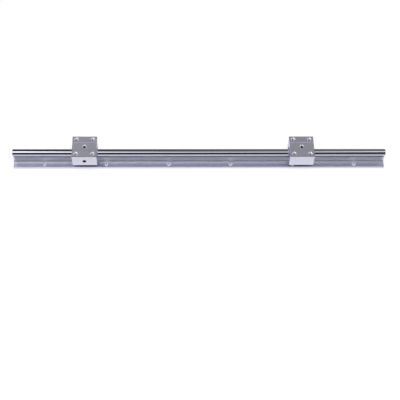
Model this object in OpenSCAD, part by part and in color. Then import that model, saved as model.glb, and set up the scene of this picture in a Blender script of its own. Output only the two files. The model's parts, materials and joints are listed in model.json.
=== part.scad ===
// Supported round rail: a hard steel shaft carried along its whole length by an
// extruded aluminium support, with two pillow-block carriages on open ball bearings.
// The origin is on the mounting face, under the middle of the rail.
// +X runs along the rail and +Z points up, away from the mounting face.

/* [Shaft] */
// Diameter of the round shaft
shaft_d = 12; // [11:0.25:12.5]
// Length of the shaft
shaft_len = 600; // [560:10:1200]
// Height of the shaft's centre above the mounting face
shaft_height = 20.46; // [19.5:0.02:23]
// Chamfer on the shaft's ends
shaft_chamfer = 0.8; // [0.2:0.1:2]
// How far the shaft stands past each end of the support
shaft_overhang = 1; // [0:0.5:4]

/* [Support rail] */
// Width of the support's foot
foot_w = 34; // [32:1:44]
// Thickness of the foot's two flanges
flange_t = 4.5; // [3:0.5:6]
// Rounding of the foot's long edges
foot_edge_r = 0.6; // [0.2:0.1:1.2]
// Width of the web where it stands on the foot
web_foot_w = 13.4; // [12:0.2:15]
// Width of the web's straight neck
neck_w = 8.6; // [7.4:0.2:9.6]
// Width across the two lips that cradle the shaft
lip_w = 6.2; // [5:0.2:7]
// Slope of the head between lip and neck, from the vertical
head_slope = 38; // [30:1:45]
// Radius of the hollow fillets between the web and the flanges
foot_fillet = 1.6; // [0.5:0.1:3]
// Room in the underside channel on each side of a screw's head
channel_room = 0.5; // [0.3:0.05:1]
// Height of the channel's roof above the mounting face
channel_h = 9; // [7:0.5:10]

/* [Support holes] */
// Stations along the rail, each with two flange holes and one shaft screw
stations = 6; // [2:1:12]
// Distance of the flange holes from the foot's edges
hole_inset = 4.5; // [3.8:0.1:6]
// Diameter of the flange holes
flange_hole_d = 4.5; // [3.5:0.1:5.5]
// Depth of the countersink on the flange holes
flange_csk = 1; // [0.3:0.1:1.5]

/* [Shaft screws] */
// Thread diameter of the screws that hold the shaft down
screw_d = 4; // [3:0.5:4.5]
// Length of those screws under the head
screw_len = 12; // [8:1:14]
// Diameter of the screw's head
screw_head_d = 7; // [6:0.1:7.8]
// Height of the screw's head
screw_head_h = 4; // [3:0.2:5]
// Hexagon socket of the screw, across flats
screw_socket = 3; // [2:0.5:3.5]
// Play between a screw and its clearance hole in the support
screw_hole_play = 0.3; // [0.1:0.05:0.6]

/* [Carriages] */
// Place of the left carriage's middle along the rail
left_x = -184; // [-250:1:-30]
// Place of the right carriage's middle along the rail
right_x = 163; // [30:1:250]
// Length of a carriage along the rail
block_len = 39; // [35:0.5:46]
// Width of a carriage
block_w = 40; // [36:0.5:48]
// Height of a carriage
block_h = 27.6; // [25:0.1:30]
// Height of a carriage's top above the shaft's centre
block_rise = 17; // [15:0.1:20]
// Size of the 45 degree tapers on the lower outer corners
side_taper = 4.6; // [2:0.2:6]
// Chamfer along the carriage's upper edges, its ends and the bore's mouths
block_chamfer = 0.5; // [0.2:0.1:1]
// Angle of the slot that the web passes through
slot_angle = 80; // [76:1:90]
// Width of the relief along the top, between the two mounting pads
top_relief_w = 15; // [10:0.5:20]
// Depth of that relief below the pads
top_relief_depth = 0.25; // [0.1:0.05:1]

/* [Carriage holes] */
// Thread diameter of the tapped holes and the grub screws
tap_d = 5; // [4:0.5:5.5]
// Depth of the full thread in the four mounting holes
tap_depth = 10; // [6:0.5:12]
// Distance of the mounting holes from the carriage's two ends
mount_inset_x = 6.5; // [4:0.1:9]
// Distance of the mounting holes from the carriage's two sides
mount_inset_y = 6; // [4:0.1:6.5]
// Depth of the countersink at the mouth of the tapped holes
tap_chamfer = 0.45; // [0.2:0.05:1]
// Width of that countersink round the thread
tap_chamfer_w = 0.8; // [0.3:0.05:1.2]
// Depth of the adjuster hole's centre below the top
adjuster_depth = 12.6; // [11:0.2:16]
// How deep the adjuster grub screw lies in its hole
adjuster_sink = 3.55; // [1:0.05:5]
// How deep the locating grub screw lies in its hole
locator_sink = 1.9; // [0.5:0.1:3]
// Hexagon socket of the grub screws, across flats
grub_socket = 2.5; // [2:0.25:3]

/* [Bearing] */
// Wall left between a snap ring's groove and the carriage's end
end_wall = 3.2; // [2:0.1:5]
// Thickness of the bearing shell over the grooves for the returning balls
shell_wall = 1.1; // [0.9:0.05:1.6]
// Distance of the two outer ring grooves from the shell's ends
shell_groove_inset = 3.5; // [2:0.1:6]
// Width of a ring groove
shell_groove_w = 1.3; // [0.8:0.1:1.6]
// Depth of a ring groove
shell_groove_depth = 0.5; // [0.2:0.05:0.7]
// Diameter of the balls
ball_d = 2.381; // [2:0.1:2.7]
// How much further from the shaft the balls run on their way back
return_lift = 0.854; // [0.75:0.01:1]
// Width of the cage's island between loaded and return row
island_w = 0.9; // [0.7:0.1:1.4]
// Wall of the cage between a ball track and the cage's end
cage_rim = 0.8; // [0.5:0.1:3]
// Thickness of an end seal
seal_t = 2; // [1:0.1:2.5]
// How far an end seal lies inside the shell's end
seal_recess = 0.5; // [0.2:0.1:1]
// Thickness of a snap ring
ring_t = 1.2; // [0.8:0.1:1.5]
// Radial width of a snap ring
ring_w = 1.3; // [1:0.1:1.8]
// How far a snap ring reaches into the carriage's groove
ring_bite = 0.65; // [0.4:0.05:1]
// Radius of the lugs at a snap ring's ends
lug_r = 1.5; // [1.2:0.1:1.8]

/* [Hidden] */
$fn = 96;
cut = 1; // every cutting tool runs past the face it cuts by this much

// Clearances
seat_gap = 0.02;   // between pieces that sit tight on each other
run_gap = 0.05;    // between the shaft and the seals' lips
ball_play = 0.015; // between a loaded ball, the shaft and the race
ball_gap = 0.12;   // between a ball and its track in the cage
roof_gap = 0.05;   // between a returning ball and the shell
cage_gap = 0.15;   // between the cage and the shaft
end_gap = 0.1;     // between pieces stacked along the bearing
tip_room = 1;      // between a screw's tip and the bottom of its hole
slot_step = 1;     // angle by which the bearing's slot is narrower than the carriage's, each side

// Shaft and support
shaft_r = shaft_d / 2;
support_len = shaft_len - 2 * shaft_overhang;
cradle_r = shaft_r + seat_gap;
lip_z = shaft_height - sqrt(pow(cradle_r, 2) - pow(lip_w / 2, 2));
neck_z = lip_z - (neck_w - lip_w) / 2 / tan(head_slope);
web_spread = (web_foot_w - neck_w) / 2;
web_r = (pow(neck_z - flange_t, 2) + pow(web_spread, 2)) / (2 * web_spread);
web_y = neck_w / 2 + web_r;
fillet_z = flange_t + foot_fillet;
fillet_y = web_y - sqrt(pow(web_r - foot_fillet, 2) - pow(neck_z - fillet_z, 2));
fillet_share = web_r / (web_r - foot_fillet);
fillet_top_y = web_y + (fillet_y - web_y) * fillet_share;
fillet_top_z = neck_z + (fillet_z - neck_z) * fillet_share;
channel_w = screw_head_d + 2 * channel_room;
channel_r = channel_w / 10;
hole_rows = foot_w - 2 * hole_inset;
station_pitch = shaft_len / stations;
station_x = [for (i = [0 : stations - 1]) (i - (stations - 1) / 2) * station_pitch];
screw_hole_d = screw_d + 2 * screw_hole_play;
screw_tip_z = channel_h + screw_len;
drill_point = 59;   // half angle of a drill's point
drill_share = 0.84; // diameter of the drill for a tapped hole, as a share of the thread's

// Bearing, in its own frame: the axis is Z and the slot opens towards -Y
ring_groove_w = ring_t + end_gap;
shell_len = block_len - 2 * (ring_groove_w + end_wall);
bearing_slot = slot_angle - 2 * slot_step;
ball_r = ball_d / 2;
load_r = shaft_r + ball_play + ball_r;
race_r = load_r + ball_r + ball_play;
return_r = load_r + return_lift;
relief_r = return_r + ball_r + roof_gap;
relief_floor = relief_r + end_gap;
shell_r = relief_floor + shell_wall;
cage_r = race_r - end_gap;
cage_bore_r = shaft_r + cage_gap;
cage_floor_r = return_r - ball_r - 2 * ball_gap;
cage_len = shell_len - 2 * (seal_t + end_gap + seal_recess);
track_w = ball_d + 2 * ball_gap;
window_w = ball_d - ball_gap;
row_angle = 2 * asin((track_w + island_w) / (load_r + return_r));
track_r = (track_w + island_w) / 2;
track_shift = return_lift * sin(row_angle / 2) / 2;
run_len = cage_len - 2 * (track_r + track_w / 2 + cage_rim);
circuit_len = 2 * run_len + 2 * PI * track_r;
ball_spacing = 1.17; // from ball to ball, as a share of the ball
ball_count = floor(circuit_len / (ball_spacing * ball_d));
circuits = [[0, 1], [90, 1], [180, -1]]; // loaded row's angle, and the side its return row lies on

// Carriage
bore_r = shell_r + seat_gap;
ring_groove_r = bore_r + ring_bite + end_gap;
mount_x = block_len - 2 * mount_inset_x;
mount_y = block_w - 2 * mount_inset_y;
grub_r = tap_d / 2 - seat_gap;
grub_rim = grub_r / 6;
adjuster_z = block_rise - adjuster_depth;
adjuster_seat = sqrt(pow(bore_r, 2) - pow(max(0, adjuster_z - grub_r), 2)) + end_gap;
adjuster_len = block_w / 2 - adjuster_seat - adjuster_sink;
locator_seat = shell_r + end_gap;
relief_floor_z = block_rise - top_relief_depth;
locator_len = relief_floor_z - locator_seat - locator_sink;

STATION_NODES = [for (i = [1 : stations]) str("shaft_screw_", i)];
SIDES = ["left", "right"];
CARRIAGE_PIECES = ["housing", "bearing_shell", "ball_cage", "bearing_balls", "end_seal_west",
    "end_seal_east", "snap_ring_west", "snap_ring_east", "adjuster_screw", "locating_screw"];

// ---- Shared helpers ----

// Turns a drawing of the cross-section (Y, Z) into a bar along X, centred on the origin
module along_x(length) {
    rotate([90, 0, 90])
        linear_extrude(length, center = true)
            children();
}

// Turns a piece whose axis is Z, with +Y up, so that its axis lies along X
module lay_along_x() {
    rotate([90, 0, 90])
        children();
}

// A rectangle with round corners, standing on the X axis
module round_bar(width, height, radius) {
    translate([-width / 2, radius])
        square([width, height - 2 * radius]);
    translate([radius - width / 2, 0])
        square([width - 2 * radius, height]);
    for (x = [-1, 1], y = [radius, height - radius])
        translate([x * (width / 2 - radius), y])
            circle(radius);
}

// A rectangle round the origin with its corners cut at 45 degrees
module cut_corner_plate(width, height, corner) {
    w = width / 2;
    h = height / 2;
    polygon([
        [-w + corner, -h], [w - corner, -h], [w, -h + corner], [w, h - corner],
        [w - corner, h], [-w + corner, h], [-w, h - corner], [-w, -h + corner]]);
}

// The open sector of a slot below the bearing's axis
module slot_sector(angle, depth) {
    spread = depth * tan(angle / 2);
    polygon([[0, 0], [-spread, -depth], [spread, -depth]]);
}

// A flat ring with the bearing slot cut out of it
module open_ring(outer_r, inner_r, angle) {
    difference() {
        circle(outer_r);
        circle(inner_r);
        slot_sector(angle, 2 * outer_r);
    }
}

module hex_socket(across_flats, depth) {
    translate([0, 0, -depth])
        cylinder(d = across_flats / cos(30), h = depth + cut, $fn = 6);
}

// Turns half a section, given as [radius, height] from the foot of its axis to the top
module turned(section) {
    rotate_extrude()
        polygon(concat([[0, section[0][1]]], section, [[0, section[len(section) - 1][1]]]));
}

// Section of a hole's mouth at radius r: its countersink, carried on past the surface
function mouth(r, chamfer, chamfer_w) =
    chamfer == 0 ? [[r, cut]] : [[r, -chamfer], [r + chamfer_w * (1 + cut / chamfer), cut]];

// A hole that goes down from a surface at z = 0, with a countersink round its mouth
module chamfered_hole(d, depth, chamfer, chamfer_w) {
    turned(concat([[d / 2, -depth]], mouth(d / 2, chamfer, chamfer_w)));
}

// A hole tapped to diameter d, on the point of the smaller drill that went before the tap
module tapped_hole(d, depth, chamfer, chamfer_w) {
    r = d / 2;
    drill_r = r * drill_share;
    turned(concat(
        [[0, -depth - drill_r / tan(drill_point)], [drill_r, -depth], [r, -depth]],
        mouth(r, chamfer, chamfer_w)));
}

// ---- Shaft ----

module shaft() {
    color("gainsboro")
        difference() {
            translate([0, 0, shaft_height])
                rotate([0, 90, 0])
                    shaft_bar();
            for (x = station_x)
                translate([x, 0, 0])
                    mirror([0, 0, 1])
                        tapped_hole(screw_d + 2 * seat_gap, screw_tip_z + tip_room, 0, 0);
        }
}

module shaft_bar() {
    half = shaft_len / 2;
    turned([
        [shaft_r - shaft_chamfer, -half], [shaft_r, shaft_chamfer - half],
        [shaft_r, half - shaft_chamfer], [shaft_r - shaft_chamfer, half]]);
}

// ---- Support rail ----

module support_rail() {
    color("silver")
        difference() {
            along_x(support_len)
                support_section();
            for (x = station_x) {
                translate([x, 0, 0])
                    cylinder(d = screw_hole_d, h = shaft_height);
                for (y = [-1, 1])
                    translate([x, y * hole_rows / 2, flange_t])
                        chamfered_hole(flange_hole_d, flange_t + cut, flange_csk, flange_csk);
            }
        }
}

module support_section() {
    difference() {
        union() {
            round_bar(foot_w, flange_t, foot_edge_r);
            web_section();
            head_section();
        }
        translate([0, shaft_height])
            circle(cradle_r);
        translate([0, -channel_h])
            round_bar(channel_w, 2 * channel_h, channel_r);
    }
}

// The web spreads from its neck to the foot in two hollow curves
module web_section() {
    difference() {
        translate([-web_foot_w / 2, 0])
            square([web_foot_w, neck_z]);
        for (side = [-1, 1])
            translate([side * web_y, neck_z])
                circle(web_r);
    }
    web_fillets();
}

// Fillets touch those curves and the flanges
module web_fillets() {
    difference() {
        polygon([
            [-fillet_y, 0], [fillet_y, 0], [fillet_y, fillet_z], [fillet_top_y, fillet_top_z],
            [-fillet_top_y, fillet_top_z], [-fillet_y, fillet_z]]);
        for (side = [-1, 1])
            translate([side * fillet_y, fillet_z])
                circle(foot_fillet);
    }
}

// The head narrows from the neck to the lips beside the shaft
module head_section() {
    polygon([
        [-neck_w / 2, neck_z], [neck_w / 2, neck_z], [lip_w / 2, lip_z], [-lip_w / 2, lip_z]]);
}

// ---- Shaft screws ----

// Socket head screw, standing in the channel with its head against the roof
module shaft_screw(x) {
    rim = screw_head_h / 12;
    tip = screw_d / 8;
    color("dimgray")
        translate([x, 0, channel_h])
            difference() {
                turned([
                    [screw_head_d / 2 - rim, -screw_head_h], [screw_head_d / 2, rim - screw_head_h],
                    [screw_head_d / 2, 0], [screw_d / 2, 0], [screw_d / 2, screw_len - tip],
                    [screw_d / 2 - tip, screw_len]]);
                translate([0, 0, -screw_head_h])
                    mirror([0, 0, 1])
                        hex_socket(screw_socket, screw_head_h / 2);
            }
}

// ---- Carriage housing ----

// All carriage pieces are drawn about the shaft's axis and put in place here.
// The right carriage is the same one turned round.
module on_carriage(side) {
    translate([side == "left" ? left_x : right_x, 0, shaft_height])
        rotate([0, 0, side == "left" ? 0 : 180])
            children();
}

module housing() {
    color("lightgray")
        difference() {
            intersection() {
                along_x(block_len)
                    housing_section();
                housing_trim();
            }
            bearing_seat();
            for (x = [-1, 1], y = [-1, 1])
                translate([x * mount_x / 2, y * mount_y / 2, block_rise])
                    tapped_hole(tap_d, tap_depth, tap_chamfer, tap_chamfer_w);
            translate([0, 0, relief_floor_z])
                chamfered_hole(tap_d, relief_floor_z, tap_chamfer, tap_chamfer_w);
            translate([0, -block_w / 2, adjuster_z])
                rotate([90, 0, 0])
                    chamfered_hole(tap_d, block_w / 2, tap_chamfer, tap_chamfer_w);
        }
}

module housing_section() {
    w = block_w / 2;
    low = block_rise - block_h;
    difference() {
        polygon([
            [-w + side_taper, low], [w - side_taper, low], [w, low + side_taper],
            [w, block_rise - block_chamfer], [w - block_chamfer, block_rise],
            [-w + block_chamfer, block_rise], [-w, block_rise - block_chamfer],
            [-w, low + side_taper]]);
        slot_sector(slot_angle, block_h);
        translate([-top_relief_w / 2, relief_floor_z])
            square([top_relief_w, top_relief_depth + cut]);
    }
}

// Breaks the edges round the housing's two ends
module housing_trim() {
    linear_extrude(4 * block_h, center = true)
        cut_corner_plate(block_len, block_w, block_chamfer);
}

// Bore for the bearing, with chamfered mouths and the two snap ring grooves
module bearing_seat() {
    lay_along_x() {
        cylinder(r = bore_r, h = block_len + 2 * cut, center = true);
        for (end = [0, 1])
            mirror([0, 0, end]) {
                translate([0, 0, shell_len / 2])
                    cylinder(r = ring_groove_r, h = ring_groove_w);
                translate([0, 0, block_len / 2 - block_chamfer])
                    cylinder(r1 = bore_r, r2 = bore_r + block_chamfer + cut, h = block_chamfer + cut);
            }
    }
}

// ---- Open ball bearing ----

// Hard steel sleeve: races over the loaded rows, relieved over the return rows
module bearing_shell() {
    color("darkgray")
        lay_along_x()
            difference() {
                linear_extrude(shell_len, center = true)
                    open_ring(shell_r, race_r, bearing_slot);
                for (circuit = circuits)
                    rotate(circuit[0] + circuit[1] * row_angle)
                        return_relief();
                for (end = [0, 1])
                    mirror([0, 0, end]) {
                        translate([0, 0, run_len / 2])
                            cylinder(r = relief_r, h = shell_len);
                        translate([0, 0, shell_len / 2 - shell_groove_inset - shell_groove_w])
                            shell_ring_groove();
                    }
            }
}

// Flat-bottomed groove in the shell for the return row, which runs further from the shaft
module return_relief() {
    translate([0, -track_w / 2, -cage_len / 2])
        cube([relief_floor, track_w, cage_len]);
}

module shell_ring_groove() {
    linear_extrude(shell_groove_w)
        difference() {
            circle(shell_r + cut);
            circle(shell_r - shell_groove_depth);
        }
}

// Moulded cage with a closed track for each ball circuit
module ball_cage() {
    color("ivory")
        lay_along_x()
            difference() {
                linear_extrude(cage_len, center = true)
                    open_ring(cage_r, cage_bore_r, bearing_slot + 4 * slot_step);
                for (circuit = circuits)
                    rotate(circuit[0] + circuit[1] * row_angle / 2)
                        ball_track(circuit[1]);
            }
}

// The track has a floor, and a narrower window in it where the balls reach the shaft
module ball_track(side) {
    difference() {
        outwards()
            track_outline(track_w, side);
        cylinder(r = cage_floor_r, h = shell_len, center = true);
    }
    outwards()
        intersection() {
            track_outline(window_w, side);
            translate([side * (track_shift - shell_r), 0])
                square([2 * shell_r, shell_len], center = true);
        }
}

// Stands an outline (round the bearing, along the bearing) up as a prism pointing outwards
module outwards() {
    rotate([90, 0, 90])
        linear_extrude(2 * shell_r)
            children();
}

module track_outline(width, side) {
    translate([side * track_shift, 0])
        difference() {
            stadium(track_r + width / 2);
            stadium(track_r - width / 2);
        }
}

module stadium(radius) {
    square([2 * radius, run_len], center = true);
    for (end = [-1, 1])
        translate([0, end * run_len / 2])
            circle(radius);
}

module bearing_balls() {
    color("white")
        lay_along_x()
            for (circuit = circuits, i = [0 : ball_count - 1])
                let (place = circuit_place(i / ball_count))
                    rotate(circuit[0] + circuit[1] * place[0])
                        translate([place[1], 0, place[2]])
                            sphere(ball_r);
}

// Where a circuit is after a share of one lap: [angle from the loaded row, radius, place along]
function circuit_place(share) =
    let (
        run = share * circuit_len,
        turn = PI * track_r,
        back = run - run_len - turn)
    run < run_len ? [0, load_r, run - run_len / 2]
        : back < 0 ? bend_place(180 * (run - run_len) / turn, 1)
        : back <= run_len ? [row_angle, return_r, run_len / 2 - back]
        : bend_place(180 * (circuit_len - run) / turn, -1);

// A ball part of the way round a bend: 0 degrees is the loaded row and 180 the return row
function bend_place(bend, far_end) =
    let (
        radius = load_r + return_lift * smooth_step(bend / 120),
        across = track_shift - track_r * cos(bend))
    [row_angle / 2 + asin(across / radius), radius, far_end * (run_len / 2 + track_r * sin(bend))];

function smooth_step(t) = let (c = max(0, min(1, t))) c * c * (3 - 2 * c);

// Rubber seal inside each end of the shell, with a moulded groove in its face
module end_seal(end) {
    face_groove = seal_t / 4;
    mid_r = (relief_r + shaft_r) / 2;
    groove_half = (relief_r - shaft_r) / 6;
    color("#222222")
        lay_along_x()
            mirror([0, 0, end == "west" ? 1 : 0])
                translate([0, 0, shell_len / 2 - seal_recess - seal_t])
                    difference() {
                        linear_extrude(seal_t)
                            open_ring(relief_r - seat_gap, shaft_r + run_gap, slot_angle);
                        translate([0, 0, seal_t - face_groove])
                            linear_extrude(face_groove + cut)
                                open_ring(mid_r + groove_half, mid_r - groove_half, bearing_slot);
                    }
}

// Snap ring in the housing's groove, with a lug and plier hole on each side of the slot
module snap_ring(end) {
    ring_r = ring_groove_r - end_gap;
    lug_at = ring_r - ring_w - lug_r / 3;
    lug_angle = slot_angle / 2 + asin(lug_r / lug_at);
    color("dimgray")
        lay_along_x()
            mirror([0, 0, end == "west" ? 1 : 0])
                translate([0, 0, shell_len / 2 + end_gap / 2])
                    linear_extrude(ring_t)
                        difference() {
                            union() {
                                open_ring(ring_r, ring_r - ring_w, 2 * lug_angle);
                                for (side = [-1, 1])
                                    rotate(side * lug_angle)
                                        translate([0, -lug_at])
                                            circle(lug_r);
                            }
                            for (side = [-1, 1])
                                rotate(side * lug_angle)
                                    translate([0, -lug_at])
                                        circle(lug_r / 2);
                        }
}

// ---- Grub screws ----

// Grub screw standing on its point, with the socket in its upper end
module grub_screw(length) {
    color("#2b2b2b")
        difference() {
            turned([
                [grub_r - grub_rim, 0], [grub_r, grub_rim], [grub_r, length - grub_rim],
                [grub_r - grub_rim, length]]);
            translate([0, 0, length])
                hex_socket(grub_socket, length / 2);
        }
}

// Presses on the bearing from the side to set its play
module adjuster_screw() {
    translate([0, -adjuster_seat, adjuster_z])
        rotate([90, 0, 0])
            grub_screw(adjuster_len);
}

// Holds the bearing from above so that it cannot turn
module locating_screw() {
    translate([0, 0, locator_seat])
        grub_screw(locator_len);
}

module carriage_piece(piece) {
    if (piece == "housing") housing();
    if (piece == "bearing_shell") bearing_shell();
    if (piece == "ball_cage") ball_cage();
    if (piece == "bearing_balls") bearing_balls();
    if (piece == "end_seal_west") end_seal("west");
    if (piece == "end_seal_east") end_seal("east");
    if (piece == "snap_ring_west") snap_ring("west");
    if (piece == "snap_ring_east") snap_ring("east");
    if (piece == "adjuster_screw") adjuster_screw();
    if (piece == "locating_screw") locating_screw();
}

shaft();
support_rail();
for (i = [1 : stations])
    shaft_screw(station_x[i - 1]);
for (side = SIDES, piece = CARRIAGE_PIECES)
    on_carriage(side) carriage_piece(piece);
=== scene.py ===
"""Finish and studio for a supported round rail with two open carriages.

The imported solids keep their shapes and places. This file gives each of them its finish, adds the
threads, knurls and seal lips that are too fine for the solids, and sets up the floor, the light
and the camera. Lengths are in metres, X runs along the shaft, -Y is the front and Z is up.
"""

import json
import math

import bpy
import numpy as np
from bpy.props import FloatProperty, FloatVectorProperty, IntProperty, PointerProperty
from mathutils import Matrix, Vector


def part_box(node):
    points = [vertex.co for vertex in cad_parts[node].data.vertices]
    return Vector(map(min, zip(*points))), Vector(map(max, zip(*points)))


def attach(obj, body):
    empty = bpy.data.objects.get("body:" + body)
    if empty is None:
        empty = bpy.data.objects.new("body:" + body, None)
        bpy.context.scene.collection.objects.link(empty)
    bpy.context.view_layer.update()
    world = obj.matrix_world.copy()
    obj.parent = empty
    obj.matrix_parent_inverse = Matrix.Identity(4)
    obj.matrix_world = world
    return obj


bl_info = {
    "name": "Supported Round Rail",
    "version": (1, 0, 0),
    "blender": (4, 5, 0),
    "location": "View3D > Sidebar > Round Rail",
    "description": "Finishes a chromed shaft on its support, with two open ball carriages",
    "category": "Object",
}

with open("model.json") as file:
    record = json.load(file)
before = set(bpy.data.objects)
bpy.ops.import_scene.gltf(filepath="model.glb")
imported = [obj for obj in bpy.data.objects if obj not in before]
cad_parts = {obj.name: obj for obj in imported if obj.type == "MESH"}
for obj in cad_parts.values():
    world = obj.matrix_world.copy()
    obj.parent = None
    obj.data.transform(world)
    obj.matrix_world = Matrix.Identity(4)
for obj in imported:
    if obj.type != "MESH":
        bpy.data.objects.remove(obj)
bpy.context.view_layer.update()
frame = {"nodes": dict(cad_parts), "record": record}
nodes = frame["nodes"]
mounts = {mount["name"]: mount for mount in frame["record"]["mounts"]}

MM = 0.001
SIDES = ("left", "right")
OUTWARD = {"west": -1, "east": 1}
SCREWS = [name for name in nodes if name.startswith("shaft_screw_")]


def box_middle(node):
    """The middle of a solid's box."""
    low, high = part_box(node)
    return (low + high) / 2


def box_size(node):
    """The size of a solid's box along X, Y and Z."""
    low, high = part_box(node)
    return high - low


shaft_middle = box_middle("shaft")
shaft_radius = box_size("shaft").z / 2


# ---- Sizes and colours ----


class RailDetailSizes(bpy.types.PropertyGroup):
    """Sizes of the fine details."""

    thread_pitch: FloatProperty(
        name="Thread pitch",
        description="From one turn of the M5 threads to the next",
        default=0.8 * MM,
        min=0.3 * MM,
        max=1.5 * MM,
        unit="LENGTH",
    )
    thread_chamfer: FloatProperty(
        name="Thread chamfer",
        description="Depth of the countersink at the mouth of each tapped hole",
        default=0.45 * MM,
        min=0.0,
        max=1 * MM,
        unit="LENGTH",
    )
    thread_segments: IntProperty(
        name="Thread segments",
        description="Segments in one turn of a thread",
        default=36,
        min=12,
        max=96,
    )
    tapped_depth: FloatProperty(
        name="Tapped depth",
        description="Depth of thread in the four mounting holes",
        default=9.6 * MM,
        min=2 * MM,
        max=12 * MM,
        unit="LENGTH",
    )
    top_relief: FloatProperty(
        name="Top relief",
        description="Depth of the relief between the two pads of a housing's top",
        default=0.25 * MM,
        min=0.0,
        max=2 * MM,
        unit="LENGTH",
    )
    knurl_ridges: IntProperty(
        name="Knurl ridges",
        description="Ridges round the head of a shaft screw",
        default=40,
        min=12,
        max=80,
    )
    knurl_height: FloatProperty(
        name="Knurl height",
        description="Height of the ridges on the head of a shaft screw",
        default=0.08 * MM,
        min=0.0,
        max=0.2 * MM,
        unit="LENGTH",
    )
    knurl_start: FloatProperty(
        name="Knurl start",
        description="From the end of a shaft screw's head to the lower edge of its knurl",
        default=0.6 * MM,
        min=0.0,
        max=2 * MM,
        unit="LENGTH",
    )
    knurl_end: FloatProperty(
        name="Knurl end",
        description="From the end of a shaft screw's head to the upper edge of its knurl",
        default=3.7 * MM,
        min=2 * MM,
        max=4 * MM,
        unit="LENGTH",
    )
    slot_half_angle: FloatProperty(
        name="Slot half angle",
        description="From straight down to either end of a seal's lip",
        subtype="ANGLE",
        default=math.radians(41),
        min=math.radians(30),
        max=math.radians(60),
    )
    lip_gap: FloatProperty(
        name="Seal lip gap",
        description="Gap between the shaft and the lip",
        default=0.06 * MM,
        min=0.0,
        max=0.3 * MM,
        unit="LENGTH",
    )
    lip_width: FloatProperty(
        name="Seal lip width",
        description="Width of the lip that wipes the shaft",
        default=0.55 * MM,
        min=0.2 * MM,
        max=1 * MM,
        unit="LENGTH",
    )
    lip_height: FloatProperty(
        name="Seal lip height",
        description="Height of the lip above the face of its seal",
        default=0.4 * MM,
        min=0.1 * MM,
        max=0.5 * MM,
        unit="LENGTH",
    )


def colour_property(name, description, default):
    """A colour of one finish."""
    return FloatVectorProperty(
        name=name,
        description=description,
        subtype="COLOR",
        size=3,
        min=0.0,
        max=1.0,
        default=default,
    )


def roughness_property(name, default):
    """The roughness of one finish."""
    return FloatProperty(
        name=name,
        description="From 0, mirror bright, to 1, fully matt",
        subtype="FACTOR",
        min=0.0,
        max=1.0,
        default=default,
    )


class RailFinishColours(bpy.types.PropertyGroup):
    """Colours and roughness of the finishes."""

    chrome: colour_property(
        "Chrome", "Hard chrome on the shaft", (0.6, 0.595, 0.7)
    )
    chrome_roughness: roughness_property("Chrome roughness", 0.07)
    support: colour_property(
        "Support", "Clear anodised, extruded aluminium", (0.69, 0.69, 0.82)
    )
    support_roughness: roughness_property("Support roughness", 0.36)
    housing: colour_property(
        "Housing", "Clear anodised, milled aluminium", (0.69, 0.685, 0.81)
    )
    housing_roughness: roughness_property("Housing roughness", 0.38)
    bare_aluminium: colour_property(
        "Bare aluminium", "Freshly cut aluminium of sawn ends and chamfers", (0.82, 0.82, 0.87)
    )
    bearing_steel: colour_property(
        "Bearing steel", "Ground steel of the bearing shells", (0.53, 0.53, 0.56)
    )
    ball_steel: colour_property("Ball steel", "Polished balls", (0.68, 0.68, 0.7))
    cage: colour_property("Cage", "Moulded ball cages", (0.74, 0.7, 0.58))
    rubber: colour_property("Rubber", "End seals", (0.02, 0.02, 0.022))
    spring: colour_property("Spring steel", "Phosphated snap rings", (0.12, 0.115, 0.11))
    black_oxide: colour_property("Black oxide", "Screws", (0.05, 0.05, 0.054))
    # Painted shade: a nearly black colour for the shade deep in the adjuster screws' holes.
    painted_hole_shade: colour_property(
        "Painted hole shade", "Painted shade deep in the adjuster holes", (0.012, 0.012, 0.02)
    )


class RailStudioSizes(bpy.types.PropertyGroup):
    """Camera, floor and light."""

    lens: FloatProperty(
        name="Lens",
        description="Focal length on a 36 mm wide sensor, in millimetres",
        default=89.18,
        min=20.0,
        max=300.0,
        unit="CAMERA",
    )
    camera_place: FloatVectorProperty(
        name="Camera place",
        description="Where the camera stands",
        subtype="TRANSLATION",
        size=3,
        default=(-0.046, -0.924, 1.322),
    )
    camera_yaw: FloatProperty(
        name="Camera yaw",
        description="Turn of the view to the right of +Y",
        subtype="ANGLE",
        default=math.radians(3.074),
    )
    camera_pitch: FloatProperty(
        name="Camera pitch",
        description="How far the camera looks down",
        subtype="ANGLE",
        default=math.radians(57.332),
    )
    camera_roll: FloatProperty(
        name="Camera roll",
        description="Turn of the camera about its line of sight",
        subtype="ANGLE",
        default=math.radians(2.46),
    )
    floor_width: FloatProperty(
        name="Floor width",
        description="Side of the square floor",
        default=8.0,
        min=1.0,
        max=40.0,
        unit="LENGTH",
    )
    lamp_energy: FloatProperty(
        name="Softbox power",
        description="Power of the softbox over the rail, in watts",
        default=9.0,
        min=0.0,
        max=200.0,
        unit="POWER",
    )
    lamp_width: FloatProperty(
        name="Softbox width",
        description="Width of the softbox over the rail",
        default=1.4,
        min=0.1,
        max=5.0,
        unit="LENGTH",
    )
    lamp_height: FloatProperty(
        name="Softbox height",
        description="Height of the softbox above the floor",
        default=1.3,
        min=0.3,
        max=5.0,
        unit="LENGTH",
    )
    lamp_forward: FloatProperty(
        name="Softbox place",
        description="How far the softbox hangs in front of the rail",
        default=0.25,
        min=-2.0,
        max=2.0,
        unit="LENGTH",
    )
    back_wall: FloatProperty(
        name="Back wall",
        description="Brightness of the wall behind the rail, as metal mirrors it",
        default=0.21,
        min=0.0,
        max=4.0,
    )
    side_wall: FloatProperty(
        name="Side walls",
        description="Brightness of the walls at the rail's two ends, as metal mirrors them",
        default=0.88,
        min=0.0,
        max=4.0,
    )
    softbox_tone: FloatProperty(
        name="Softbox tone",
        description="Brightness of the softbox over the rail, as metal mirrors it",
        default=1.32,
        min=0.0,
        max=8.0,
    )
    room_light: FloatProperty(
        name="Room light",
        description="Strength of the light that comes evenly from all round",
        default=0.576,
        min=0.0,
        max=2.0,
    )


# ---- Meshes ----

SHARP_ANGLE = math.radians(40)


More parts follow.
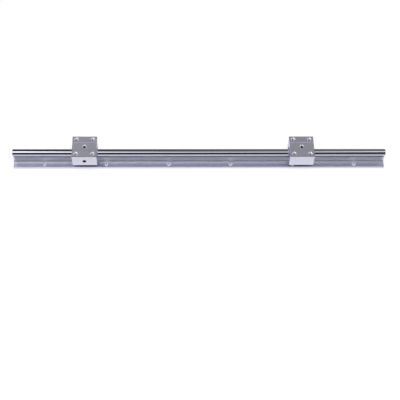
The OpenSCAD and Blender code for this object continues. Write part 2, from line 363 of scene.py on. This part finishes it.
def swept_mesh(name, points, closed_path):
    """A mesh from a closed profile carried along a path.

    points[i, j] is corner j of the profile at step i of the path, in metres. Quads join each
    corner to its neighbours in both directions, the profile closes on itself, and the path
    either closes on itself too or ends in two caps.
    """
    steps, corners = points.shape[:2]
    path = np.arange(steps if closed_path else steps - 1)[:, None]
    profile = np.arange(corners)[None, :]
    onward, around = (path + 1) % steps, (profile + 1) % corners
    quads = np.stack(
        [
            path * corners + profile,
            onward * corners + profile,
            onward * corners + around,
            path * corners + around,
        ],
        axis=-1,
    ).reshape(-1, 4)
    faces = quads.tolist()
    if not closed_path:
        faces.append(list(range(corners)))
        faces.append([steps * corners - 1 - i for i in range(corners)])
    mesh = bpy.data.meshes.new(name)
    mesh.from_pydata(points.reshape(-1, 3).tolist(), [], faces)
    mesh.shade_smooth()
    mesh.set_sharp_from_angle(angle=SHARP_ANGLE)
    mesh.validate()
    return mesh


def box_product(p, q, r):
    """The sum over a grid of p . (q x r), six times the volume of each point's tetrahedron."""
    return np.einsum("ijk,ijk->", p, np.cross(q, r))


def outward_volume(points, closed_path):
    """Signed volume inside a swept surface: a sixth of the box products of its triangles."""
    a = points if closed_path else points[:-1]
    b = np.roll(points, -1, axis=0) if closed_path else points[1:]
    c, d = np.roll(b, -1, axis=1), np.roll(a, -1, axis=1)
    middle = points.reshape(-1, 3).mean(0)
    a, b, c, d = (p - middle for p in (a, b, c, d))
    return (box_product(a, b, c) + box_product(a, c, d)) / 6


def swept_piece(name, points, closed_path, body, material):
    """A finished piece from swept points, with its faces outwards, on a body and in a slot."""
    if outward_volume(points, closed_path) < 0:
        points = points[:, ::-1]
    piece = bpy.data.objects.new(name, swept_mesh(name, points, closed_path))
    bpy.context.scene.collection.objects.link(piece)
    piece.data.materials.append(material)
    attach(piece, body)
    return piece


def thread_points(mouth, inward, radius, depth, sizes):
    """The ridge of a right-hand internal thread.

    A ridge with a trapezium profile goes round the hole and into it: at the angle a its middle
    lies pitch * a / (2 pi) below its start. Each corner of the profile has a radius and an
    offset along the hole, and both shrink to nearly nothing over the first and last half turn.
    The ridge's height and its widths at the root and the crest are those of a metric thread.
    """
    pitch = sizes.thread_pitch
    ridge, root_half, crest_half = 0.5413 * pitch, 7 / 16 * pitch, pitch / 8
    root = radius + 0.01 * MM
    run_in, thinnest = 0.5, 0.02
    start = sizes.thread_chamfer + pitch / 2
    turns = (depth - start - pitch / 2) / pitch
    t = np.linspace(0, turns, int(turns * sizes.thread_segments) + 1)[:, None]
    height = np.clip(np.minimum(t, turns - t) / run_in, thinnest, 1)
    offset = np.array([-root_half, root_half, crest_half, -crest_half])[None, :]
    share = np.array([0, 0, 1, 1])[None, :]
    r = root - share * height * ridge
    along = start + pitch * t + offset * height
    inward = np.array(inward, float)
    across = np.cross(inward, [1.0, 0.0, 0.0])
    third = np.cross(inward, across)
    a = 2 * np.pi * t
    return (
        np.array(mouth, float)
        + along[..., None] * inward
        + (r * np.cos(a))[..., None] * across
        + (r * np.sin(a))[..., None] * third
    )


def knurl_points(middle, radius, low, high, sizes):
    """A knurled sleeve round a vertical axis.

    The radius swings between the head's own and that plus the knurl's height as a triangle wave
    of the angle, on a profile whose two ends bite into the head.
    """
    steps_each, bite = 4, 0.05 * MM
    step = np.arange(steps_each * sizes.knurl_ridges)
    a = 2 * np.pi * step / len(step)
    wave = np.abs((step / steps_each) % 1 - 0.5) * 2
    peak = radius + sizes.knurl_height * wave
    sunk = np.full_like(peak, radius - bite)
    edge = 3 * sizes.knurl_height
    r = np.stack([sunk, peak, peak, sunk], axis=1)
    z = np.array([low, low + edge, high - edge, high])[None, :] + np.zeros_like(r)
    x = middle.x + r * np.cos(a)[:, None]
    y = middle.y + r * np.sin(a)[:, None]
    return np.stack([x, y, z], axis=-1)


def lip_points(face_x, outward, inner_radius, sizes):
    """A seal's lip: a wedge carried round the shaft from one side of the slot to the other.

    The profile's corners are pairs of a way outwards, as a share of the lip's width, and a way
    above the seal's face, as a share of the lip's height. The angle, which is 0 straight down,
    runs from the slot's one side, over the top, to its other side.
    """
    profile = np.array(
        [
            (0.0, -0.1),
            (0.0, 0.7),
            (0.12, 0.92),
            (0.3, 1.0),
            (0.5, 0.9),
            (1.0, -0.1),
        ]
    )
    start, segments = sizes.slot_half_angle, 96
    r = inner_radius + profile[:, 0] * sizes.lip_width
    x = face_x + outward * profile[:, 1] * sizes.lip_height
    a = np.linspace(start, 2 * np.pi - start, segments + 1)[:, None]
    y = shaft_middle.y + r[None, :] * np.sin(a)
    z = shaft_middle.z - r[None, :] * np.cos(a)
    return np.stack([x[None, :] + np.zeros_like(y), y, z], axis=-1)


# ---- Shaders ----


def hypotenuse(a, b):
    """The distance that two steps at right angles make, of numbers or of wires."""
    return (a * a + b * b) ** 0.5


def colour_value(colour):
    """A colour as a socket takes it: a wire as it is, and three numbers with full opacity."""
    return colour if isinstance(colour, Wire) else (*colour, 1.0)


class Wire:
    """A socket in a material or world. Python's operators on it add Math nodes.

    A wire without a socket is only a place to add nodes from.
    """

    def __init__(self, tree, socket=None):
        self.tree = tree
        self.socket = socket

    def node(self, kind, inputs=None, output=0, **settings):
        """Adds a node: its settings first, then its sockets' values or links. Gives an output."""
        made = self.tree.nodes.new(kind)
        for name, value in settings.items():
            setattr(made, name, value)
        for key, value in (inputs or {}).items():
            if isinstance(value, Wire):
                self.tree.links.new(value.socket, made.inputs[key])
            else:
                made.inputs[key].default_value = value
        return Wire(self.tree, made.outputs[output]) if made.outputs else None

    def math(self, operation, *values):
        """A Math node on any numbers and wires."""
        return self.node("ShaderNodeMath", dict(enumerate(values)), operation=operation)

    def __add__(self, other):
        return self.math("ADD", self, other)

    __radd__ = __add__

    def __sub__(self, other):
        return self.math("SUBTRACT", self, other)

    def __rsub__(self, other):
        return self.math("SUBTRACT", other, self)

    def __mul__(self, other):
        return self.math("MULTIPLY", self, other)

    __rmul__ = __mul__

    def __truediv__(self, other):
        return self.math("DIVIDE", self, other)

    def __pow__(self, other):
        return self.math("POWER", self, other)

    def __abs__(self):
        return self.math("ABSOLUTE", self)

    def fraction(self):
        """What is left above the whole number below."""
        return self.math("FRACT", self)

    def least(self, other):
        """The lower of two."""
        return self.math("MINIMUM", self, other)

    def most(self, other):
        """The higher of two."""
        return self.math("MAXIMUM", self, other)

    def step(self, start, end):
        """0 up to start, 1 from end on, and a smooth rise between them. start may be above end."""
        return self.node(
            "ShaderNodeMapRange",
            {"Value": self, "From Min": start, "From Max": end},
            interpolation_type="SMOOTHSTEP",
        )

    def parts(self):
        """The three parts of a vector."""
        split = self.node("ShaderNodeSeparateXYZ", {0: self})
        return [Wire(self.tree, out) for out in split.socket.node.outputs]

    def mix(self, low, high):
        """A colour: low where this wire is 0, high where it is 1. Each may be a wire too."""
        return self.node(
            "ShaderNodeMix",
            {0: self, 6: colour_value(low), 7: colour_value(high)},
            output=2,
            data_type="RGBA",
        )

    def ray(self, kind):
        """1 for the rays of a kind, such as Camera or Glossy, and 0 for all others."""
        return self.node("ShaderNodeLightPath", output=f"Is {kind} Ray")


def empty_tree(owner):
    """The cleared nodes of a material or world, as a wire to add nodes from."""
    owner.use_nodes = True
    owner.node_tree.nodes.clear()
    return Wire(owner.node_tree)


class Surface:
    """A material in the making, with its place in millimetres about a middle."""

    def __init__(self, name, middle=(0.0, 0.0, 0.0)):
        self.material = bpy.data.materials.new(name)
        self.start = empty_tree(self.material)
        self.place = self.start.node(
            "ShaderNodeMapping",
            {
                "Vector": self.start.node("ShaderNodeTexCoord", output="Object"),
                "Location": [-c / MM for c in middle],
                "Scale": (1 / MM, 1 / MM, 1 / MM),
            },
        )
        self.x, self.y, self.z = self.place.parts()

    def facing(self):
        """How much the surface faces along X, Y and Z, each from -1 to 1."""
        return self.start.node("ShaderNodeTexCoord", output="Normal").parts()

    def from_axis(self):
        """Distance from the X axis through the middle, in millimetres."""
        return hypotenuse(self.y, self.z)

    def noise(self, density, detail=2.0):
        """Noise from 0 to 1 with so many waves per millimetre along each axis."""
        return self.noise_at(self.place, density, detail)

    def noise_along(self, way, density, detail=2.0):
        """Noise from 0 to 1 with so many waves per unit of one wire, and none across it."""
        return self.noise_at(
            self.start.node("ShaderNodeCombineXYZ", {0: way}), (density, 0, 0), detail
        )

    def noise_at(self, place, density, detail):
        """Noise from 0 to 1 at a place that is multiplied by the density."""
        spread = self.start.node(
            "ShaderNodeVectorMath", {0: place, 1: density}, operation="MULTIPLY"
        )
        return self.start.node(
            "ShaderNodeTexNoise",
            {"Vector": spread, "Scale": 1.0, "Detail": detail, "Roughness": 0.55},
            output="Fac",
        )

    def finish(self, colour, roughness, height=None, lift_mm=0.001, **fixed):
        """Joins the pattern to one shader.

        height is a relief in units of lift_mm, and fixed are sockets that stay the same all over.
        """
        inputs = {"Base Color": colour_value(colour), "Roughness": roughness, **fixed}
        if height is not None:
            inputs["Normal"] = self.start.node(
                "ShaderNodeBump",
                {"Strength": 1.0, "Distance": lift_mm * MM, "Height": height},
            )
        shader = self.start.node("ShaderNodeBsdfPrincipled", inputs)
        self.start.node("ShaderNodeOutputMaterial", {"Surface": shader})
        return self.material


def tints(amount, colour, low, high):
    """A colour times low where the amount is 0, and times high where it is 1."""
    dark, light = (tuple(min(1.0, c * share) for c in colour) for share in (low, high))
    return amount.mix(dark, light)


def dress(node, material):
    """Gives a solid its finish."""
    slots = nodes[node].material_slots
    if slots:
        for slot in slots:
            slot.material = material
    else:
        nodes[node].data.materials.append(material)


def chrome_finish(colours):
    """Hard chrome: fine grinding lines round the shaft, and turned rings on its two ends."""
    chamfer_length = 0.8
    s = Surface("hard_chrome", shaft_middle)
    half = box_size("shaft").x / 2 / MM
    end = abs(s.x).step(half - 0.02, half - 0.01)
    chamfer = abs(s.x).step(half - chamfer_length - 0.04, half - chamfer_length)
    ground = s.noise((7, 0.25, 0.25), 3)
    cloud = s.noise((0.03, 0.12, 0.12))
    rings = s.noise_along(s.from_axis(), 6)
    colour = tints(cloud, colours.chrome, 0.96, 1.03)
    colour = (chamfer * 0.5).mix(colour, colours.bearing_steel)
    roughness = colours.chrome_roughness * (0.7 + 0.6 * ground) + chamfer * 0.16
    relief = ground * (1 - end) * 0.35 + rings * end * 6
    return s.finish(colour, roughness, relief, 0.0008, Metallic=1.0)


def support_finish(colours):
    """Extruded aluminium: die lines along the rail, sawn ends, and bright cut holes.

    The saw's marks are arcs about the axle of its arm, which is placed in millimetres. Round
    each hole's mouth the surface rolls over into the countersink.
    """
    saw_axle_y, saw_axle_z = 40, -150
    dims = mounts["base_bolts_left"]["dims"]
    pitch, row, hole_r = dims["spacing_x_mm"], dims["spacing_y_mm"] / 2, dims["hole_r_mm"]
    s = Surface("anodised_support")
    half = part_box("support_rail")[1].x / MM
    end = abs(s.x).step(half - 0.03, half - 0.01)
    die = s.noise((0.0015, 1.1, 1.1), 4)
    fine = s.noise((0.004, 5, 5))
    grain = s.noise((3, 3, 3))
    saw = s.noise_along(hypotenuse(s.y - saw_axle_y, s.z - saw_axle_z), 1.6, 3)
    station = (s.x / pitch).fraction() * pitch - pitch / 2
    from_hole = hypotenuse(station, abs(s.y) - row)
    bright = end.most(from_hole.step(hole_r + 1.1, hole_r + 0.95))
    rolled = from_hole.step(hole_r + 1, hole_r + 1.6)
    colour = tints(die, colours.support, 0.93, 1.06)
    colour = (bright * 0.75).mix(colour, colours.bare_aluminium)
    base = colours.support_roughness
    roughness = base - 0.06 + 0.12 * die + 0.05 * (grain - 0.5) - 0.1 * bright
    relief = (die * 4 + fine + grain * 0.4) * (1 - end) + saw * end * 8 + rolled * 90
    return s.finish(colour, roughness, relief, 0.0022, Metallic=1.0)


def housing_finish(side, colours):
    """Anodised housing: extruded sides, milled top and bottom, sawn ends, and worn edges.

    Its bore is turned, the countersinks of the tapped holes are bright, the wall round the
    adjuster screw is painted dark as shade deep in its hole, and the pads' edges roll over into
    the top's relief.
    The mill's marks on the top are arcs about an axle beside the housing. All sizes here are
    in millimetres.
    """
    bore_r, relief_half_width = 11.4, 7.5
    countersink_r, countersink_reach = 3.25, 1.2
    hole_shade_r, hole_shade_start = 2.9, 9
    mill_axle_x = 30
    node = f"housing_{side}"
    middle, half = box_middle(node), box_size(node) / 2 / MM
    s = Surface(f"anodised_{node}", middle)

    facing_x, _, facing_z = s.facing()
    top, end = abs(facing_z).step(0.9, 0.95), abs(facing_x).step(0.9, 0.95)
    shaft_height = (shaft_middle.z - middle.z) / MM
    bore = hypotenuse(s.y, s.z - shaft_height).step(bore_r + 0.2, bore_r) * (1 - end)
    die = s.noise((0.01, 1.4, 1.4), 3)
    milled = s.noise_along(hypotenuse(s.x - mill_axle_x, s.y), 1.3)
    sawn = s.noise((0.05, 0.15, 2.4))
    turned = s.noise((5, 0.1, 0.1))
    drawn = die * (1 - top) * (1 - end) * (1 - bore)
    pattern = drawn + milled * top + sawn * end + turned * bore
    grain = s.noise((4, 4, 4))

    from_end, from_side, from_top = half.x - abs(s.x), half.y - abs(s.y), half.z - s.z
    from_edge = (from_end + from_side).least(from_end + from_top).least(from_side + from_top)
    worn = from_edge.step(1.0, 0.5) * s.noise((0.6, 0.6, 0.6), 3).step(0.3, 0.62)

    dims = mounts[f"carriage_{side}_bolts"]["dims"]
    along, across = abs(s.x) - dims["spacing_x_mm"] / 2, abs(s.y) - dims["spacing_y_mm"] / 2
    from_hole = hypotenuse(along, across).least(hypotenuse(s.x, s.y))
    cut = from_hole.step(countersink_r + 0.15, countersink_r)
    cut = cut * from_top.step(countersink_reach + 0.4, countersink_reach)

    screw = (box_middle(f"adjuster_screw_{side}") - middle) / MM
    outwards = s.y * math.copysign(1, screw.y)
    # Painted shade: the wall of the adjuster screw's hole is painted nearly black for the shade
    # deep in it.
    shaded_hole = hypotenuse(s.x - screw.x, s.z - screw.z).step(hole_shade_r + 0.3, hole_shade_r)
    shaded_hole = shaded_hole * outwards.step(hole_shade_start - 1, hole_shade_start)

    colour = tints(pattern, colours.housing, 0.95, 1.04)
    colour = (worn * 0.6).most(cut).mix(colour, colours.bare_aluminium)
    colour = shaded_hole.mix(colour, colours.painted_hole_shade)
    roughness = colours.housing_roughness - 0.04 + 0.08 * pattern + 0.05 * (grain - 0.5)
    roughness = roughness - (worn * 0.1).most(cut * 0.2)
    rolled = abs(s.y).step(relief_half_width, relief_half_width + 0.4)
    relief = pattern * 2 + grain * 0.5 + rolled * top * 80
    return s.finish(colour, roughness, relief, 0.0018, Metallic=1.0)


def shell_finish(side, colours):
    """Ground bearing steel: fine lines round the shell, a little stained."""
    node = f"bearing_shell_{side}"
    s = Surface(f"ground_{node}", box_middle(node))
    ground = s.noise((6, 0.2, 0.2), 3)
    colour = tints(s.noise((0.12, 0.12, 0.12), 3), colours.bearing_steel, 0.9, 1.06)
    return s.finish(colour, 0.2 + 0.12 * ground, ground, 0.0008, Metallic=1.0)


def ball_finish(colours):
    """Polished balls: mirror bright, with a faint bloom."""
    s = Surface("polished_balls")
    bloom = s.noise((0.7, 0.7, 0.7))
    colour = tints(bloom, colours.ball_steel, 0.96, 1.03)
    return s.finish(colour, 0.04 + 0.05 * bloom, Metallic=1.0)


def cage_finish(colours):
    """Moulded cages: ivory plastic with a fine spark-eroded grain and slow flow marks."""
    s = Surface("moulded_cage")
    grain = s.noise((6, 6, 6), 3)
    colour = tints(s.noise((0.15, 0.5, 0.5)), colours.cage, 0.92, 1.04)
    return s.finish(colour, 0.42 + 0.12 * grain, grain, 0.006, IOR=1.48)


def rubber_finish(colours):
    """Moulded rubber: matt, finely grained, with a paler bloom in places."""
    s = Surface("seal_rubber")
    grain = s.noise((5, 5, 5), 3)
    colour = tints(s.noise((0.4, 0.4, 0.4), 3), colours.rubber, 0.8, 1.6)
    return s.finish(colour, 0.62 + 0.2 * grain, grain, 0.01, IOR=1.52)


def spring_finish(colours):
    """Phosphated spring steel: dull, mottled grey-brown."""
    s = Surface("phosphated_spring")
    mottle = s.noise((2.2, 2.2, 2.2), 4)
    colour = tints(mottle, colours.spring, 0.7, 1.5)
    return s.finish(colour, 0.42 + 0.22 * mottle, mottle, 0.004, Metallic=0.85)


def hole_shade_finish(colours):
    """Painted shade on the thread of each adjuster hole: dark and half glossy, for the shade deep
    in the hole.
    """
    s = Surface("painted_hole_shade")
    smear = s.noise((1.1, 1.1, 1.1), 3)
    colour = tints(smear, colours.painted_hole_shade, 0.7, 1.5)
    return s.finish(colour, 0.35 + 0.2 * smear, smear, 0.02, IOR=1.5)


def oxide_finish(colours):
    """Black oxide on screws: dark with a satin sheen, rubbed a little where it is handled."""
    s = Surface("black_oxide")
    mottle = s.noise((1.5, 1.5, 1.5), 4)
    rubbed = s.noise((0.8, 0.8, 0.8), 3).step(0.6, 0.8)
    colour = tints(mottle, colours.black_oxide, 0.7, 1.4)
    colour = (rubbed * 0.25).mix(colour, [c * 0.6 for c in colours.bearing_steel])
    return s.finish(colour, 0.34 + 0.16 * mottle, mottle, 0.003, Metallic=0.9)


# ---- Operators ----


class RAIL_OT_finish_shaft(bpy.types.Operator):
    """Gives the shaft its hard chrome"""

    bl_idname = "rail.finish_shaft"
    bl_label = "Finish the shaft"

    def execute(self, context):
        dress("shaft", chrome_finish(context.scene.rail_colours))
        return {"FINISHED"}


class RAIL_OT_finish_support(bpy.types.Operator):
    """Gives the support rail its anodised, extruded finish"""

    bl_idname = "rail.finish_support"
    bl_label = "Finish the support"

    def execute(self, context):
        dress("support_rail", support_finish(context.scene.rail_colours))
        return {"FINISHED"}


class RAIL_OT_finish_housings(bpy.types.Operator):
    """Gives the two housings their milled, anodised finish"""

    bl_idname = "rail.finish_housings"
    bl_label = "Finish the housings"

    def execute(self, context):
        for side in SIDES:
            dress(f"housing_{side}", housing_finish(side, context.scene.rail_colours))
        return {"FINISHED"}


class RAIL_OT_finish_bearings(bpy.types.Operator):
    """Gives the shells, balls and cages of the bearings their finishes"""

    bl_idname = "rail.finish_bearings"
    bl_label = "Finish the bearings"

    def execute(self, context):
        colours = context.scene.rail_colours
        balls, cage = ball_finish(colours), cage_finish(colours)
        for side in SIDES:
            dress(f"bearing_shell_{side}", shell_finish(side, colours))
            dress(f"bearing_balls_{side}", balls)
            dress(f"ball_cage_{side}", cage)
        return {"FINISHED"}


class RAIL_OT_finish_seals(bpy.types.Operator):
    """Gives the end seals and snap rings their finishes"""

    bl_idname = "rail.finish_seals"
    bl_label = "Finish the seals and rings"

    def execute(self, context):
        colours = context.scene.rail_colours
        rubber, spring = rubber_finish(colours), spring_finish(colours)
        for side in SIDES:
            for end in OUTWARD:
                dress(f"end_seal_{end}_{side}", rubber)
                dress(f"snap_ring_{end}_{side}", spring)
        return {"FINISHED"}


class RAIL_OT_finish_screws(bpy.types.Operator):
    """Gives the screws their black oxide"""

    bl_idname = "rail.finish_screws"
    bl_label = "Finish the screws"

    def execute(self, context):
        oxide = oxide_finish(context.scene.rail_colours)
        grubs = [f"{kind}_screw_{side}" for kind in ("adjuster", "locating") for side in SIDES]
        for node in SCREWS + grubs:
            dress(node, oxide)
        return {"FINISHED"}


class RAIL_OT_cut_threads(bpy.types.Operator):
    """Puts the M5 threads into the tapped holes of the two carriages"""

    bl_idname = "rail.cut_threads"
    bl_label = "Cut the threads"

    def execute(self, context):
        # The adjuster holes' threads get the painted shade finish.
        hole_shade_material = hole_shade_finish(context.scene.rail_colours)
        for side in SIDES:
            metal = nodes[f"housing_{side}"].material_slots[0].material
            self.thread_top(context.scene.rail_sizes, side, metal)
            self.thread_adjuster_hole(context.scene.rail_sizes, side, hole_shade_material)
        return {"FINISHED"}

    def cut(self, sizes, name, side, mouth, inward, depth, material):
        """One thread, from the mouth of its hole and inwards, as a piece of its own."""
        radius = mounts[f"carriage_{side}_bolts"]["dims"]["hole_r_mm"] * MM
        points = thread_points(mouth, inward, radius, depth, sizes)
        swept_piece(name, points, False, f"carriage_{side}", material)

    def thread_top(self, sizes, side, metal):
        """The four mounting holes, and the hole of the locating screw down to the screw."""
        down = (0, 0, -1)
        mount = mounts[f"carriage_{side}_bolts"]
        x, y, z = mount["pos_m"]
        half_x, half_y = (mount["dims"][f"spacing_{axis}_mm"] / 2 * MM for axis in "xy")
        corners = [(x + i * half_x, y + j * half_y, z) for i in (-1, 1) for j in (-1, 1)]
        for number, mouth in enumerate(corners, 1):
            name = f"mount_thread_{side}_{number}"
            self.cut(sizes, name, side, mouth, down, sizes.tapped_depth, metal)
        mouth = (x, y, z - sizes.top_relief)
        sunk = mouth[2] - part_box(f"locating_screw_{side}")[1].z
        self.cut(sizes, f"locating_thread_{side}", side, mouth, down, sunk, metal)

    def thread_adjuster_hole(self, sizes, side, hole_shade_material):
        """The hole of the adjuster screw, from the housing's front or back wall to the screw."""
        screw_low, screw_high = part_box(f"adjuster_screw_{side}")
        wall_low, wall_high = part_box(f"housing_{side}")
        if screw_low.y < 0:
            wall, sunk, inward = wall_low.y, screw_low.y - wall_low.y, (0, 1, 0)
        else:
            wall, sunk, inward = wall_high.y, wall_high.y - screw_high.y, (0, -1, 0)
        middle = (screw_low + screw_high) / 2
        mouth = (middle.x, wall, middle.z)
        self.cut(sizes, f"adjuster_thread_{side}", side, mouth, inward, sunk, hole_shade_material)


class RAIL_OT_knurl_screws(bpy.types.Operator):
    """Puts knurled sleeves round the heads of the shaft screws"""

    bl_idname = "rail.knurl_screws"
    bl_label = "Knurl the screw heads"

    def execute(self, context):
        sizes = context.scene.rail_sizes
        for number, node in enumerate(SCREWS, 1):
            low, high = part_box(node)
            radius = (high.x - low.x) / 2
            bottom, top = low.z + sizes.knurl_start, low.z + sizes.knurl_end
            points = knurl_points((low + high) / 2, radius, bottom, top, sizes)
            metal = nodes[node].material_slots[0].material
            swept_piece(f"screw_knurl_{number}", points, True, "rail", metal)
        return {"FINISHED"}


class RAIL_OT_mould_lips(bpy.types.Operator):
    """Puts the wiping lips on the faces of the end seals"""

    bl_idname = "rail.mould_lips"
    bl_label = "Mould the seal lips"

    def execute(self, context):
        sizes = context.scene.rail_sizes
        inner_radius = shaft_radius + sizes.lip_gap
        for side in SIDES:
            body = f"carriage_{side}"
            for end, outward in OUTWARD.items():
                seal = f"end_seal_{end}_{side}"
                low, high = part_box(seal)
                face_x = high.x if outward > 0 else low.x
                points = lip_points(face_x, outward, inner_radius, sizes)
                rubber = nodes[seal].material_slots[0].material
                swept_piece(f"seal_lip_{end}_{side}", points, False, body, rubber)
        return {"FINISHED"}


class RAIL_OT_build_studio(bpy.types.Operator):
    """Builds the pale floor, the softbox, the room's light and the camera"""

    bl_idname = "rail.build_studio"
    bl_label = "Build the studio"

    def execute(self, context):
        scene = context.scene
        studio = scene.rail_studio
        self.lay_floor(scene, studio)
        self.light_room(scene, studio)
        self.hang_softbox(scene, studio)
        self.place_camera(scene, studio)
        scene.view_settings.view_transform = "Standard"
        return {"FINISHED"}

    def lay_floor(self, scene, studio):
        """A white sheet under the rail that keeps the rail's soft shadow.

        To the camera and to metal it is grey paper that glows, which together look white, and
        under the rail it glows less, a painted shade that shows through the rail's holes. Metal
        also mirrors a dark strip of it, which lies in front of the rail and gives the shaft a dark
        line. To matt surfaces it is plain white paper.
        """
        half = studio.floor_width / 2
        below = -0.1 * MM
        mesh = bpy.data.meshes.new("studio_floor")
        corners = [(-half, -half), (half, -half), (half, half), (-half, half)]
        mesh.from_pydata([(x, y, below) for x, y in corners], [], [(0, 1, 2, 3)])
        floor = bpy.data.objects.new("studio_floor", mesh)
        scene.collection.objects.link(floor)
        material = bpy.data.materials.new("studio_floor")
        start = empty_tree(material)
        x, y, _ = start.node("ShaderNodeTexCoord", output="Object").parts()
        seen = start.ray("Camera").most(start.ray("Glossy")).most(start.ray("Transmission"))
        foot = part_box("support_rail")[1]
        # Painted shade: the floor's glow is cut down within the rail's footprint.
        under = abs(x).step(foot.x, foot.x - MM) * abs(y).step(foot.y, foot.y - MM)
        strip_back, strip_front, strip_share = -0.08, -0.24, 0.9
        strip = y.step(strip_back + 0.01, strip_back) * y.step(strip_front - 0.02, strip_front)
        strip = strip * strip_share * start.ray("Glossy")
        white, grey, dark = (0.8, 0.8, 0.8), (0.3, 0.3, 0.3), (0.02, 0.02, 0.02)
        tone = strip.mix(seen.mix(white, grey), dark)
        glow_open, shade_under = 0.75, 0.4
        strength = seen * (1 - shade_under * under) * (1 - strip) * glow_open
        paper = start.node("ShaderNodeBsdfDiffuse", {"Color": tone})
        glow = start.node("ShaderNodeEmission", {"Strength": strength})
        both = start.node("ShaderNodeAddShader", {0: paper, 1: glow})
        start.node("ShaderNodeOutputMaterial", {"Surface": both})
        mesh.materials.append(material)

    def light_room(self, scene, studio):
        """Even light on matt surfaces, white behind the rail, and a studio for metal to mirror.

        The mirrored studio goes by the angle about the rail, in degrees from the back horizon
        over the top to the front: a dim wall, the softbox overhead, and the dark round the
        camera. The wall is dimmer to the left and the softbox is brighter there. The edges of
        the softbox bend toward the back at the sides, the front edge only to the right. Pale
        walls close the room's two ends.
        """
        scene.world = bpy.data.worlds.new("studio_room")
        start = empty_tree(scene.world)
        x, y, z = start.node("ShaderNodeTexCoord", output="Generated").parts()
        angle = start.math("ARCTAN2", z, y) * (180 / math.pi)

        dark, wall_fades, wall_on_left = 0.04, (112, 100), 0.14
        tone = studio.back_wall * (wall_on_left + x.step(-0.3, 0.3))
        wall = dark + angle.step(*wall_fades) * (tone - dark)

        # Each edge is an angle, less a bend times the square of the way to the side.
        back, back_bend, bend_middle, back_blur = 103, 450, 0.06, 1.5
        front, front_bend, front_blur = 124, 225, 2
        gain_on_left = 0.35
        aside, on_right = x - bend_middle, x.most(0)
        past_back = angle - (back - back_bend * (aside * aside))
        past_front = angle - (front - front_bend * (on_right * on_right))
        softbox = past_back.step(-back_blur, back_blur) * past_front.step(front_blur, -front_blur)
        softbox = softbox * (1 + gain_on_left * x.step(0, -0.15)) * studio.softbox_tone

        mirrored = wall + softbox
        mirrored = mirrored + abs(x).step(0.3, 0.6) * (studio.side_wall - mirrored)
        strength = studio.room_light + start.ray("Glossy") * (mirrored - studio.room_light)
        seen = start.ray("Camera").most(start.ray("Transmission"))
        strength = strength + seen * (1 - strength)
        shader = start.node(
            "ShaderNodeBackground", {"Color": (1.0, 1.0, 1.0, 1.0), "Strength": strength}
        )
        start.node("ShaderNodeOutputWorld", {"Surface": shader})

    def hang_softbox(self, scene, studio):
        """A wide lamp over the rail, a little in front, for soft shadows."""
        lamp = bpy.data.lights.new("softbox", "AREA")
        lamp.shape = "RECTANGLE"
        lamp.size = studio.lamp_width
        lamp.size_y = studio.lamp_width / 2
        lamp.energy = studio.lamp_energy
        softbox = bpy.data.objects.new("softbox", lamp)
        scene.collection.objects.link(softbox)
        softbox.location = (0.0, -studio.lamp_forward, studio.lamp_height)
        softbox.visible_glossy = False

    def place_camera(self, scene, studio):
        """Turns the camera by its yaw, pitch and roll."""
        lens = bpy.data.cameras.new("camera")
        lens.sensor_width = 36.0
        lens.lens = studio.lens
        camera = bpy.data.objects.new("camera", lens)
        scene.collection.objects.link(camera)
        turn = (
            Matrix.Rotation(-studio.camera_yaw, 4, "Z")
            @ Matrix.Rotation(math.pi / 2 - studio.camera_pitch, 4, "X")
            @ Matrix.Rotation(studio.camera_roll, 4, "Z")
        )
        camera.matrix_world = Matrix.Translation(studio.camera_place) @ turn
        scene.camera = camera


GROUPS = {
    "rail_sizes": RailDetailSizes,
    "rail_colours": RailFinishColours,
    "rail_studio": RailStudioSizes,
}

STEPS = (
    RAIL_OT_finish_shaft,
    RAIL_OT_finish_support,
    RAIL_OT_finish_housings,
    RAIL_OT_finish_bearings,
    RAIL_OT_finish_seals,
    RAIL_OT_finish_screws,
    RAIL_OT_cut_threads,
    RAIL_OT_knurl_screws,
    RAIL_OT_mould_lips,
    RAIL_OT_build_studio,
)


class RAIL_PT_steps(bpy.types.Panel):
    """Lists the steps and the sizes and colours they use"""

    bl_idname = "RAIL_PT_steps"
    bl_label = "Supported Round Rail"
    bl_space_type = "VIEW_3D"
    bl_region_type = "UI"
    bl_category = "Round Rail"

    def draw(self, context):
        for step in STEPS:
            self.layout.operator(step.bl_idname)
        for group in GROUPS:
            settings = getattr(context.scene, group)
            column = self.layout.column(align=True)
            for name in settings.bl_rna.properties.keys():
                if name not in ("rna_type", "name"):
                    column.prop(settings, name)


CLASSES = (*GROUPS.values(), *STEPS, RAIL_PT_steps)


def register():
    for kind in CLASSES:
        bpy.utils.register_class(kind)
    for name, group in GROUPS.items():
        setattr(bpy.types.Scene, name, PointerProperty(type=group))


def unregister():
    for name in GROUPS:
        delattr(bpy.types.Scene, name)
    for kind in reversed(CLASSES):
        bpy.utils.unregister_class(kind)


def main():
    """Runs every step in order."""
    register()
    bpy.ops.rail.finish_shaft()
    bpy.ops.rail.finish_support()
    bpy.ops.rail.finish_housings()
    bpy.ops.rail.finish_bearings()
    bpy.ops.rail.finish_seals()
    bpy.ops.rail.finish_screws()
    bpy.ops.rail.cut_threads()
    bpy.ops.rail.knurl_screws()
    bpy.ops.rail.mould_lips()
    bpy.ops.rail.build_studio()


if __name__ == "__main__":
    main()
